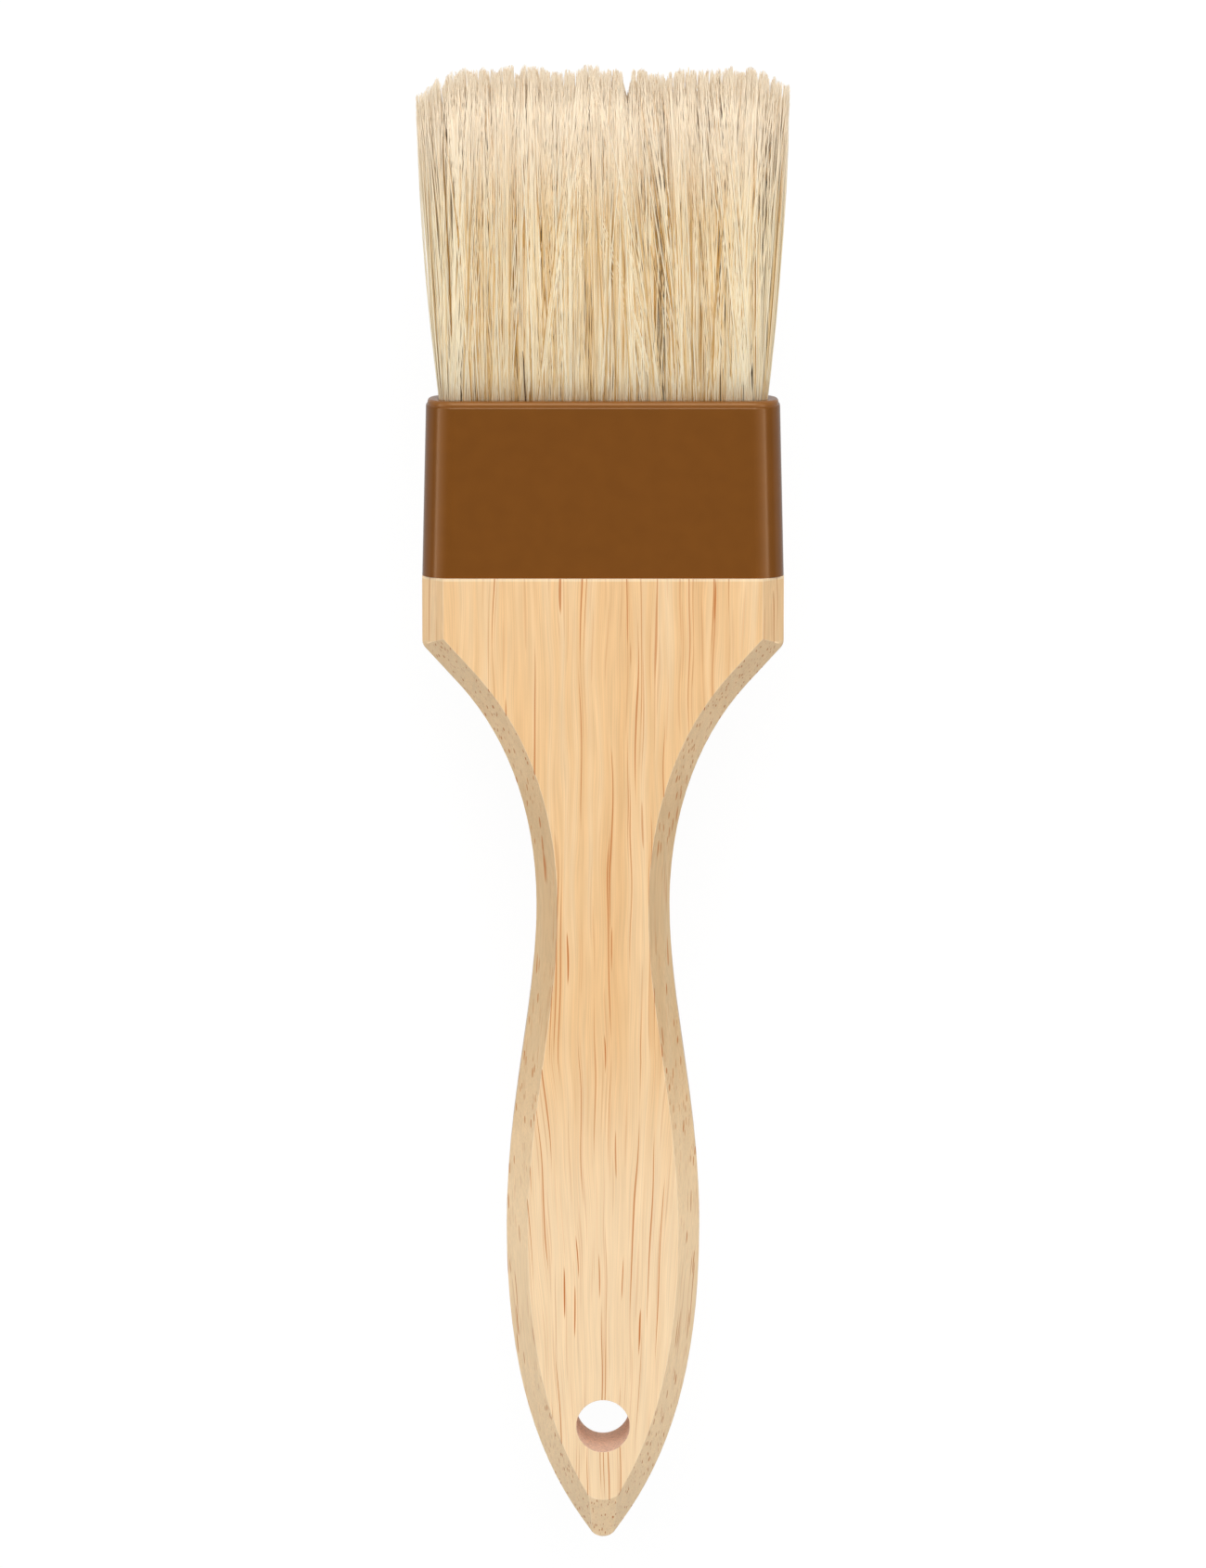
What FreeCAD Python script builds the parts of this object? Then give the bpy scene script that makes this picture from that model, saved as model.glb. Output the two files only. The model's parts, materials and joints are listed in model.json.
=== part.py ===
"""Flat pastry brush: a chamfered wooden handle, a moulded ferrule and a bundle of natural bristle set in epoxy.

Frame: the brush lies on its back. +X is its width, +Y runs from the handle's nose to the bristle tips and
+Z points out of its front face. The origin is the bottom centre of the bounding box. Lengths are in millimetres.
"""
import FreeCAD, Part
import math
import os

V = FreeCAD.Vector

# Lengths along the brush
HANDLE_LENGTH = 138.9  # shoulder to nose
FERRULE_LENGTH = 24.8
BRISTLE_LENGTH = 46.1  # the free length, out of the ferrule

# Handle
SHOULDER_WIDTH = 50.8  # the trade size: two inches
HANDLE_THICKNESS = 11.5
CHAMFER = 3.0
SHOULDER_SIDE = 9.7  # straight side between the ferrule and the shoulder's corner
SHOULDER_ROUND = 1.6
FLARE_ANGLE = 42.4  # degrees between the shoulder's slope and the brush's length
FLARE_STRAIGHT = 7.5  # straight part of that slope
FLARE_PULL = 12.4  # how firmly each curve holds its direction at its end: the length of the end's tangent leg
WAIST_WIDTH = 18.8
WAIST_FROM_SHOULDER = 46.7
WAIST_PULL_UP = 10.1
WAIST_PULL_DOWN = 15.3
BELLY_WIDTH = 27.4
BELLY_FROM_SHOULDER = 93.0
BELLY_PULL_UP = 17.4
BELLY_PULL_DOWN = 18.2
NOSE_PULL = 13.7
NOSE_ANGLE = 35.3  # degrees between the side at the nose and the brush's length
NOSE_STRAIGHT = 0.5  # straight part of that side, above the chamfer's mitre
NOSE_RADIUS = 2.0
NOSE_FACE_END = 6.2  # from the nose's tip to the end of the flat face
NOSE_SLOPE_DEPTH = 3.3  # how far below the face the slope between them meets the tip
HANG_HOLE_DIAMETER = 7.6
HANG_HOLE_FROM_NOSE = 17.0
TANG_LENGTH = 13.0
TANG_CLEARANCE = 0.15  # glue gap around the tang

# Ferrule
FERRULE_STEP = 0.35  # how far its faces lie below the handle's
FERRULE_TAPER = 0.6  # how far each side closes in over its length
FERRULE_WALL = 1.8
FERRULE_CORNER = 4.0
LIP_HEIGHT = 0.7
LIP_INSET = 0.2
LIP_ROUND = 0.5
EDGE_ROUND = 0.3

# Bristles and what holds them
BOND_GAP = 0.05  # between the epoxy and the ferrule's wall
EPOXY_DEPTH = 6.0
SPACER_THICKNESS = 2.0
SPACER_MARGIN = 1.5  # from the spacer's side to the bundle's
SPACER_BELOW_MOUTH = 1.5
SET_DEPTH = 5.5  # how deep bristle and spacer stand in the epoxy
BUNDLE_CLEARANCE = 0.15  # between the bundle and the ferrule's wall
SPREAD = 3.25  # how far each side of the bundle opens out from the mouth to the tips
THICKENING = 1.45  # the same for its front and its back
TIP_CROWN = 2.2  # how far the bundle's corners fall behind the middle of the tips
LOCKS_PER_ROW = 8

# The line that the free bristles bend about
BEND_FROM_MOUTH = 4.5
BEND_GAP = 0.3
BUTT_BELOW_BEND = 2.0  # room for the bent bristles above the ends of the set ones

# Places along Y, and the mid plane of the thickness
overall_length = HANDLE_LENGTH + FERRULE_LENGTH + BRISTLE_LENGTH
y_nose = -overall_length / 2
y_shoulder = y_nose + HANDLE_LENGTH
y_mouth = y_shoulder + FERRULE_LENGTH
y_tip = y_mouth + BRISTLE_LENGTH
y_bend = y_mouth + BEND_FROM_MOUTH
y_tang_end = y_shoulder + TANG_LENGTH
y_epoxy_top = y_tang_end + EPOXY_DEPTH
y_set = y_epoxy_top - SET_DEPTH
z_middle = HANDLE_THICKNESS / 2
REACH = 2 * overall_length  # larger than the whole brush


def arc_about(centre, start, end):
    """The shorter arc about a centre, from one point to another."""
    to_middle = (start + end) * 0.5 - centre
    middle = centre + to_middle * ((start - centre).Length / to_middle.Length)
    return Part.Arc(start, middle, end).toShape()


def mirrored(shape):
    """The same shape on the other side of the plane x = 0."""
    return shape.mirror(V(0, 0, 0), V(1, 0, 0))


def prism(edges, direction):
    """The closed outline that the edges make, extruded."""
    wire = Part.Wire(Part.__sortEdges__(edges))
    return Part.Face(wire).extrude(direction)


def polygon_prism(points, direction):
    """A closed polygon, extruded."""
    return Part.Face(Part.makePolygon(points + points[:1])).extrude(direction)


def block(x, y, z):
    """A box between two limits along each axis."""
    return Part.makeBox(x[1] - x[0], y[1] - y[0], z[1] - z[0], V(x[0], y[0], z[0]))


def section(y, half_width, half_thickness, radius):
    """A rectangle with round corners across the brush at y, about the mid plane."""
    points = []
    for sx, sz in ((1, 1), (-1, 1), (-1, -1), (1, -1)):
        centre = V(sx * (half_width - radius), y, z_middle + sz * (half_thickness - radius))
        beside = centre + V(sx * radius, 0, 0)
        above = centre + V(0, 0, sz * radius)
        points.append((centre, beside, above) if sx == sz else (centre, above, beside))
    edges = []
    for (centre, start, end), (_, next_start, _) in zip(points, points[1:] + points[:1]):
        edges.append(arc_about(centre, start, end))
        edges.append(Part.makeLine(end, next_start))
    return Part.Wire(edges)


def loft(low, high):
    """A solid with straight sides between two sections."""
    return Part.makeLoft([low, high], True, True)


# ---- Handle ----


def slanted(angle):
    """The unit vector at an angle, in degrees, from the nose's direction towards +X."""
    return V(math.sin(math.radians(angle)), -math.cos(math.radians(angle)), 0)


def curve(start, start_leg, end_leg, end):
    """A smooth curve between two points, which leaves and arrives along the legs given there."""
    bezier = Part.BezierCurve()
    bezier.setPoles([start, start + start_leg, end + end_leg, end])
    return bezier.toShape()


side = SHOULDER_WIDTH / 2
shoulder_corner = V(side, y_shoulder - SHOULDER_SIDE, 0)
shoulder_slope = slanted(-FLARE_ANGLE)
nose_angle = math.radians(NOSE_ANGLE)
nose_centre = V(0, y_nose + NOSE_RADIUS, 0)
nose_corner = nose_centre - V(0, NOSE_RADIUS / math.sin(nose_angle), 0)


def handle_side():
    """The right-hand edge of the handle, from the ferrule to the nose, with both corners left sharp."""
    flare_end = shoulder_corner + shoulder_slope * FLARE_STRAIGHT
    waist = V(WAIST_WIDTH / 2, y_shoulder - WAIST_FROM_SHOULDER, 0)
    belly = V(BELLY_WIDTH / 2, y_shoulder - BELLY_FROM_SHOULDER, 0)
    up_the_nose = slanted(180 - NOSE_ANGLE)
    mitre = max(CHAMFER, NOSE_RADIUS) / math.tan(nose_angle)
    nose_end = nose_corner + up_the_nose * (mitre + NOSE_STRAIGHT)
    return [
        Part.makeLine(V(side, y_shoulder, 0), shoulder_corner),
        Part.makeLine(shoulder_corner, flare_end),
        curve(flare_end, shoulder_slope * FLARE_PULL, V(0, WAIST_PULL_UP, 0), waist),
        curve(waist, V(0, -WAIST_PULL_DOWN, 0), V(0, BELLY_PULL_UP, 0), belly),
        curve(belly, V(0, -BELLY_PULL_DOWN, 0), up_the_nose * NOSE_PULL, nose_end),
        Part.makeLine(nose_end, nose_corner),
    ]


def rimmed_disc(centre, radius, inner, rise, depth):
    """A disc as thick as the handle, whose rims slope in to the inner radius over the rise, from a depth below."""
    straight = Part.makeCylinder(radius, HANDLE_THICKNESS - 2 * depth, centre + V(0, 0, depth))
    low = Part.makeCone(inner, radius, rise, centre + V(0, 0, depth - rise))
    high = Part.makeCone(radius, inner, rise, centre + V(0, 0, HANDLE_THICKNESS - depth))
    return straight.fuse([low, high])


def corner_waste(centre, disc, way_a, way_b, far):
    """What rounding a corner takes off: the wedge between two ways out of the round's centre, less its disc."""
    middle = way_a + way_b
    middle = middle * (1 / middle.Length)
    wedge = [centre, centre + way_a * far, centre + middle * 2 * far, centre + way_b * far]
    return polygon_prism(wedge, V(0, 0, HANDLE_THICKNESS)).cut(disc)


def round_waste(centre, radius, way_a, way_b):
    """The waste of a corner that is rounded to a radius, with the handle's chamfer on both rims."""
    inner = max(radius - CHAMFER, 0)
    disc = rimmed_disc(centre, radius, inner, radius - inner, CHAMFER)
    return corner_waste(centre, disc, way_a, way_b, 3 * radius)


def nose_slope_waste(way_a, way_b):
    """The waste of the slope that ends each flat face in a blunt round, and runs from there down to the tip."""
    slant = math.sin(nose_angle)
    sharp_end = (CHAMFER - NOSE_RADIUS) / slant + NOSE_RADIUS
    face_radius = (NOSE_FACE_END - sharp_end) * slant / (1 - slant)
    centre = V(0, y_nose + NOSE_FACE_END + face_radius, 0)
    past_tip = 1.1
    rise = NOSE_SLOPE_DEPTH * past_tip
    radius = face_radius + NOSE_FACE_END * past_tip
    disc = rimmed_disc(centre, radius, face_radius, rise, rise)
    return corner_waste(centre, disc, way_a, way_b, 3 * radius)


def make_handle():
    edges = handle_side()
    end = Part.makeLine(V(-side, y_shoulder, 0), V(side, y_shoulder, 0))
    solid = prism(edges + [mirrored(e) for e in edges] + [end], V(0, 0, HANDLE_THICKNESS))

    def chamfered(edge):
        box = edge.BoundBox
        return box.ZLength < 1e-6 and box.YMin < y_shoulder - 1e-6

    solid = solid.makeChamfer(CHAMFER, [e for e in solid.Edges if chamfered(e)])

    # The shoulder's round touches the straight side and the slope, at right angles to each
    off_slope = V(-shoulder_slope.y, shoulder_slope.x, 0)
    back = SHOULDER_ROUND * math.tan(math.radians(FLARE_ANGLE / 2))
    shoulder_centre = shoulder_corner + V(-SHOULDER_ROUND, back, 0)
    right = round_waste(shoulder_centre, SHOULDER_ROUND, V(1, 0, 0), off_slope)
    nose_right = slanted(90 - NOSE_ANGLE)
    nose_left = V(-nose_right.x, nose_right.y, 0)
    tip = round_waste(nose_centre, NOSE_RADIUS, nose_right, nose_left)
    solid = solid.cut([right, mirrored(right), tip])
    solid = solid.cut(nose_slope_waste(nose_right, nose_left))

    hole = Part.makeCylinder(HANG_HOLE_DIAMETER / 2, HANDLE_THICKNESS, V(0, y_nose + HANG_HOLE_FROM_NOSE, 0))
    half_width, half_thickness = cavity(y_tang_end)
    tang_section = section(
        y_shoulder - CHAMFER,
        half_width - TANG_CLEARANCE,
        half_thickness - TANG_CLEARANCE,
        cavity_corner - TANG_CLEARANCE,
    )
    tang = Part.Face(tang_section).extrude(V(0, TANG_LENGTH + CHAMFER, 0))
    return solid.cut(hole).fuse(tang).removeSplitter()


# ---- Ferrule ----

cavity_corner = FERRULE_CORNER - FERRULE_WALL


def ferrule_half_sizes(y):
    """Half the ferrule's width and thickness at y: it closes in evenly from the shoulder to the mouth."""
    closed = FERRULE_TAPER * (y - y_shoulder) / FERRULE_LENGTH
    return SHOULDER_WIDTH / 2 - closed, z_middle - FERRULE_STEP - closed


def cavity(y):
    """Half the width and thickness of the ferrule's hollow at y."""
    half_width, half_thickness = ferrule_half_sizes(y)
    return half_width - FERRULE_WALL, half_thickness - FERRULE_WALL


def ferrule_section(y, inset):
    half_width, half_thickness = ferrule_half_sizes(y)
    return section(y, half_width - inset, half_thickness - inset, FERRULE_CORNER - inset)


def rounded_rim(solid, y, radius):
    """The solid with its outer edges at y rounded."""

    def on_rim(edge):
        box = edge.BoundBox
        return abs(box.YMin - y) < 1e-6 and abs(box.YMax - y) < 1e-6

    return solid.makeFillet(radius, [e for e in solid.Edges if on_rim(e)])


def make_ferrule():
    y_lip = y_mouth - LIP_HEIGHT
    body = rounded_rim(loft(ferrule_section(y_shoulder, 0), ferrule_section(y_lip, 0)), y_lip, EDGE_ROUND)
    lip = loft(ferrule_section(y_lip - EDGE_ROUND, LIP_INSET), ferrule_section(y_mouth, LIP_INSET))
    lip = rounded_rim(lip, y_mouth, LIP_ROUND)
    hollow = loft(ferrule_section(y_shoulder - 1, FERRULE_WALL), ferrule_section(y_mouth + 1, FERRULE_WALL))
    return body.fuse(lip).cut(hollow).removeSplitter()


# ---- Bristles, spacer and epoxy ----

mouth_half_width, mouth_half_thickness = cavity(y_mouth)
bundle_half_width = mouth_half_width - BUNDLE_CLEARANCE
bundle_half_thickness = mouth_half_thickness - BUNDLE_CLEARANCE
bundle_corner = cavity_corner - BUNDLE_CLEARANCE
tip_half_width = bundle_half_width + SPREAD
tip_half_thickness = bundle_half_thickness + THICKENING

# The free bristles end in a half round about the bend line, as thick as the flared bundle is there
bend_radius = bundle_half_thickness + THICKENING * BEND_FROM_MOUTH / BRISTLE_LENGTH


def bend_cylinder(radius):
    """A round bar about the bend line."""
    return Part.makeCylinder(radius, 2 * REACH, V(-REACH, y_bend, z_middle), V(1, 0, 0))


def half_space(front):
    """Everything in front of the mid plane, or behind it."""
    z = (z_middle, REACH) if front else (-REACH, z_middle)
    return block((-REACH, REACH), (-REACH, REACH), z)


def make_spacer():
    half_width = bundle_half_width - SPACER_MARGIN
    z = (z_middle - SPACER_THICKNESS / 2, z_middle + SPACER_THICKNESS / 2)
    return block((-half_width, half_width), (y_set, y_mouth - SPACER_BELOW_MOUTH), z)


def make_butts(front):
    """The set ends of one row: straight up out of the epoxy, hollowed under the line that the free ends bend about."""
    outline = section(y_set, bundle_half_width, bundle_half_thickness, bundle_corner)
    row = Part.Face(outline).extrude(V(0, y_bend - BUTT_BELOW_BEND - y_set, 0))
    slot = SPACER_THICKNESS / 2
    between = block((-REACH, REACH), (-REACH, REACH), (z_middle - slot, z_middle + slot))
    return row.common(half_space(front)).cut([between, bend_cylinder(bend_radius + BEND_GAP)])


def make_epoxy(set_pieces):
    plug = loft(
        ferrule_section(y_tang_end, FERRULE_WALL + BOND_GAP),
        ferrule_section(y_epoxy_top, FERRULE_WALL + BOND_GAP),
    )
    return plug.cut(set_pieces)


def make_bundle():
    """All the free bristles as one solid: round below the bend line, and flared and crowned towards the tips."""
    bundle = loft(
        section(y_mouth, bundle_half_width, bundle_half_thickness, bundle_corner),
        section(y_tip, tip_half_width, tip_half_thickness, bundle_corner),
    )
    above_bend = block((-REACH, REACH), (y_bend, y_tip + 1), (-REACH, REACH))
    crown_radius = (tip_half_width**2 + TIP_CROWN**2) / (2 * TIP_CROWN)
    crown = Part.makeCylinder(crown_radius, 2 * REACH, V(0, y_tip - crown_radius, -REACH))
    return bundle.common(crown).common(bend_cylinder(bend_radius).fuse(above_bend))


def make_lock(bundle, number, front):
    """One lock of a row, cut out of the bundle by two planes that fan out towards the tips."""
    corners = []
    for y, half_width in ((y_mouth, bundle_half_width), (y_tip, tip_half_width)):
        pitch = 2 * half_width / LOCKS_PER_ROW
        left = -half_width + (number - 1) * pitch
        corners += [V(left, y, 0), V(left + pitch, y, 0)]
    low_left, low_right, high_left, high_right = corners
    fan = polygon_prism([low_left, low_right, high_right, high_left], V(0, 0, HANDLE_THICKNESS))
    return bundle.common(fan).common(half_space(front))


def main():
    spacer = make_spacer()
    butts = {"front": make_butts(True), "back": make_butts(False)}
    nodes = {
        "handle": make_handle(),
        "ferrule": make_ferrule(),
        "epoxy_plug": make_epoxy([spacer, butts["front"], butts["back"]]),
        "centre_spacer": spacer,
        "front_bristle_butts": butts["front"],
        "back_bristle_butts": butts["back"],
    }
    bundle = make_bundle()
    for row in ("front", "back"):
        for number in range(1, LOCKS_PER_ROW + 1):
            nodes[f"{row}_lock_{number}"] = make_lock(bundle, number, row == "front")

    os.makedirs("parts", exist_ok=True)
    for name, shape in nodes.items():
        shape.exportStep(f"parts/{name}.step")
        box = shape.BoundBox
        print(
            f"{name:22} solids {len(shape.Solids)} valid {shape.isValid()} volume {shape.Volume:9.1f}"
            f"  x {box.XMin:7.2f} {box.XMax:7.2f}  y {box.YMin:7.2f} {box.YMax:7.2f}  z {box.ZMin:6.2f} {box.ZMax:6.2f}"
        )


main()
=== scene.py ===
import json
import math

import bmesh
import bpy
import numpy as np
from bpy.props import FloatProperty, FloatVectorProperty, IntProperty, PointerProperty
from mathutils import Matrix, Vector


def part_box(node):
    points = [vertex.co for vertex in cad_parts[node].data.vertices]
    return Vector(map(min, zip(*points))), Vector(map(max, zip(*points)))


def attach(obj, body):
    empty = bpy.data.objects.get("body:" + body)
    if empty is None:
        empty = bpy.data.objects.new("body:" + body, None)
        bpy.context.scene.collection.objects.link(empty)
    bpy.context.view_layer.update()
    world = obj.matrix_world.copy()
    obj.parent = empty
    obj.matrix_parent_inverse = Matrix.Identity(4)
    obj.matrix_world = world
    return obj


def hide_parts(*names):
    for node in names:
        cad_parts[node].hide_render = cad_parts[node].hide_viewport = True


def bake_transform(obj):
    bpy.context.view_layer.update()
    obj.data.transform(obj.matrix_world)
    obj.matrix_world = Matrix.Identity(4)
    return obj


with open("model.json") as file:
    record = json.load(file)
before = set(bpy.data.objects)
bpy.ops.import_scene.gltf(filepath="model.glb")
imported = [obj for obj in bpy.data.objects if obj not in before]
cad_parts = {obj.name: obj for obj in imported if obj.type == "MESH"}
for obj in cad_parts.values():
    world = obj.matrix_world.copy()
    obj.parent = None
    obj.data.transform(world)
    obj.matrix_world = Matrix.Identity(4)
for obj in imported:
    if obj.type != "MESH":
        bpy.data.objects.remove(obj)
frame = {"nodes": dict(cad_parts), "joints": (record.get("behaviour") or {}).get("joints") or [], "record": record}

bl_info = {
    "name": "Pastry Brush",
    "version": (1, 0, 0),
    "blender": (4, 5, 0),
    "location": "View3D > Sidebar > Pastry Brush",
    "description": "Builds the looks of a flat pastry brush: handle, ferrule and natural bristles",
    "category": "Object",
}

MM = 0.001  # the frame is in metres; lengths below are given in millimetres
FIXED_BODY = "brush_body"
ROWS = {"front": 1.0, "back": -1.0}  # the side of the middle plane that each row of bristles stands on
LOCKS_PER_ROW = 8

HANDLE_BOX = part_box("handle")
FERRULE_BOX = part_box("ferrule")
LOCK_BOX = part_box("front_lock_4")
END_LOCK_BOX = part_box("front_lock_1")
BUTT_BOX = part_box("front_bristle_butts")
HINGE = frame["joints"][0]
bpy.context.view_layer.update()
HOLE = next(mount for mount in frame["record"]["mounts"] if mount["name"] == "hang_hole")

FERRULE_FOOT = FERRULE_BOX[0][1]  # where the handle comes out of the ferrule
SHOULDER_CORNER = FERRULE_FOOT - 9 * MM  # above it the handle's sides are straight
MIDDLE = (HANDLE_BOX[0][2] + HANDLE_BOX[1][2]) / 2  # height of the plane between the two rows
MOUTH = FERRULE_BOX[1][1]  # where the bristles come out of the ferrule
SET_DEPTH = 1.0 * MM  # how far inside the mouth the set ends are cut off
TIPS = LOCK_BOX[1][1]  # where the longest bristles end in the CAD
REACH_DOWN = (TIPS - HINGE["pos_m"][1]) * math.sin(math.radians(HINGE["range_deg"][1]))  # at the limit


def linear(hex_colour):
    """The linear colour of an sRGB hex value."""
    parts = [int(hex_colour[i : i + 2], 16) / 255 for i in (1, 3, 5)]
    return tuple(c / 12.92 if c <= 0.04045 else ((c + 0.055) / 1.055) ** 2.4 for c in parts)


def length_property(name, description, default):
    """A length in metres, which is not negative."""
    return FloatProperty(
        name=name, description=description, default=default, min=0.0, subtype="DISTANCE", unit="LENGTH"
    )


def colour_property(name, description, default):
    """A colour with an sRGB hex value as its default."""
    return FloatVectorProperty(
        name=name, description=description, default=linear(default), size=3, min=0.0, max=1.0, subtype="COLOR"
    )


def share_property(name, description, default):
    """A share from 0 to 1."""
    return FloatProperty(
        name=name, description=description, default=default, min=0.0, max=1.0, subtype="FACTOR"
    )


def angle_property(name, description, degrees):
    """An angle with a default in degrees."""
    return FloatProperty(
        name=name, description=description, default=math.radians(degrees), subtype="ANGLE", unit="ROTATION"
    )


class HandleSettings(bpy.types.PropertyGroup):
    """Sizes and colours of the wooden handle."""

    edge_round: length_property("Edge round", "Radius that sanding leaves on the handle's edges", 0.7 * MM)
    pale: colour_property("Pale wood", "Colour of the palest bands of the wood", "#F5D6AA")
    straw: colour_property("Straw wood", "Colour that most of the wood has", "#F0C58E")
    golden: colour_property("Golden wood", "Colour of the warmest bands of the wood", "#E6B67C")
    nose: colour_property("Nose wood", "Paler colour that the wood turns to towards the nose", "#FADDB4")
    # Painted shade and sheen: chamfer is the darker, greyer chamfer colour along the waist, and end_chamfer the
    # lighter one towards nose and shoulder.
    chamfer: colour_property("Chamfer wood", "Greyer colour of the cut fibres at the waist", "#D5B68A")
    end_chamfer: colour_property(
        "End chamfer wood", "Colour of the chamfers towards nose and shoulder", "#F9DAAE"
    )
    # Painted highlight: the pale colour of the rounded edges and of the line along the ferrule's foot.
    edge: colour_property("Edge wood", "Colour where the lacquer is thin, on rounded edges", "#FFE9C6")
    vessel: colour_property("Vessel lines", "Colour of the fine pore lines along the grain", "#C4762E")
    drilled: colour_property("Drilled wood", "Colour of the bare wall of the hang hole", "#F0CDB4")
    gloss: share_property("Lacquer roughness", "Roughness of the satin lacquer", 0.42)


class FerruleSettings(bpy.types.PropertyGroup):
    """Colours of the moulded ferrule."""

    colour: colour_property("Plastic", "Colour of the moulded plastic", "#794818")
    # Painted light: the lip colour stands for the light that the thin lip catches.
    lip: colour_property("Lip", "Lighter colour of the thin lip, which lets some light through", "#8E5B2B")
    gloss: share_property("Plastic roughness", "Roughness that the polished mould leaves", 0.22)


class BristleSettings(bpy.types.PropertyGroup):
    """Sizes and colours of the bristles."""

    doublings: IntProperty(
        name="Doublings", description="A lock has two to this power bristles", default=9, min=1, max=10
    )
    thickness: length_property("Thickness", "Diameter of a bristle where it leaves the ferrule", 0.18 * MM)
    lean: length_property("Lean", "How far a bristle's tip usually strays sideways", 0.55 * MM)
    bow: length_property("Bow", "How far a bristle usually bows off its straight line", 0.36 * MM)
    clump: length_property("Clump", "Width of the small tufts that the tips gather in", 1.7 * MM)
    raggedness: length_property("Raggedness", "How much the tufts differ in length", 0.85 * MM)
    golden: colour_property("Golden bristles", "Colour of the darkest usual bristles", "#C4934A")
    cream: colour_property("Cream bristles", "Colour that most bristles have", "#EFD09C")
    pale: colour_property("Pale bristles", "Colour of the palest bristles", "#FDF0D2")
    # The tip colour is partly the split tips' own paler colour and partly painted light that evens out the shade
    # among the tips.
    tip: colour_property("Tips", "Colour of the soft split tips", "#FFEFD6")
    dark: colour_property("Dark hairs", "Colour of the few dark hairs", "#53341A")


class SettingSettings(bpy.types.PropertyGroup):
    """Colours of the pieces inside the ferrule."""

    resin: colour_property("Resin", "Colour of the resin that sets the bristles", "#B98B4E")
    strip: colour_property("Strip", "Colour of the wooden strip between the rows", "#D9B98A")
    butts: colour_property("Set ends", "Colour of the set ends of the bristles", "#CDB595")


class StageSettings(bpy.types.PropertyGroup):
    """Camera, lamps and floor."""

    distance: length_property("Camera distance", "From the camera to the middle of the brush", 1.196)
    tilt: angle_property("Camera tilt", "How far the camera leans towards the tips", 9.8)
    aim: FloatProperty(
        name="Aim", description="Place along the brush that the camera looks at", default=3.9 * MM,
        subtype="DISTANCE", unit="LENGTH",
    )
    lens: FloatProperty(
        name="Lens", description="Focal length of the camera", default=252.5, min=10.0,
        subtype="DISTANCE_CAMERA",
    )
    floor_drop: length_property("Floor drop", "From the brush down to the floor", REACH_DOWN + 12 * MM)
    strip_strength: FloatProperty(
        name="Strip strength", description="Radiance of the side lamps", default=2.5, min=0.0
    )
    key_strength: FloatProperty(
        name="Key strength", description="Radiance of the large lamp", default=4.2, min=0.0
    )
    key_lamp: angle_property("Key lamp", "From straight above to the large lamp, towards the tips", 34)
    left_lamp: angle_property("Left lamp", "From straight above to the left lamp", 67)
    right_lamp: angle_property("Right lamp", "From straight above to the right lamp", 53)


class BrushSettings(bpy.types.PropertyGroup):
    """All settings of the pastry brush."""

    handle: PointerProperty(type=HandleSettings)
    ferrule: PointerProperty(type=FerruleSettings)
    bristles: PointerProperty(type=BristleSettings)
    inside: PointerProperty(type=SettingSettings)
    stage: PointerProperty(type=StageSettings)


# ---- materials ----


def new_material(name):
    """An empty node material and its tree."""
    material = bpy.data.materials.new(name)
    material.use_nodes = True
    material.node_tree.nodes.clear()
    return material, material.node_tree


def add(tree, kind, sockets=None, stops=None, **settings):
    """Adds a node. sockets sets or links its inputs by name or number, and stops are a ramp's places and
    colours, of which the first two go to the stops that a new ramp has."""
    node = tree.nodes.new(kind)
    for key, value in settings.items():
        setattr(node, key, value)
    for key, value in (sockets or {}).items():
        if isinstance(value, bpy.types.NodeSocket):
            tree.links.new(value, node.inputs[key])
        elif hasattr(value, "__len__") and len(value) == 3 and len(node.inputs[key].default_value) == 4:
            node.inputs[key].default_value = (*value, 1.0)
        else:
            node.inputs[key].default_value = value
    for i, (place, colour) in enumerate(stops or []):
        element = node.color_ramp.elements[i] if i < 2 else node.color_ramp.elements.new(place)
        element.position = place
        element.color = (*colour, 1.0)
    return node


def stretched(tree, place, across, along, up=None):
    """Object coordinates counted in repeats that are across wide, along long and up high, in metres."""
    scale = (1 / across, 1 / along, 1 / (up or across))
    return add(tree, "ShaderNodeMapping", {"Vector": place, "Scale": scale}).outputs["Vector"]


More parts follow.
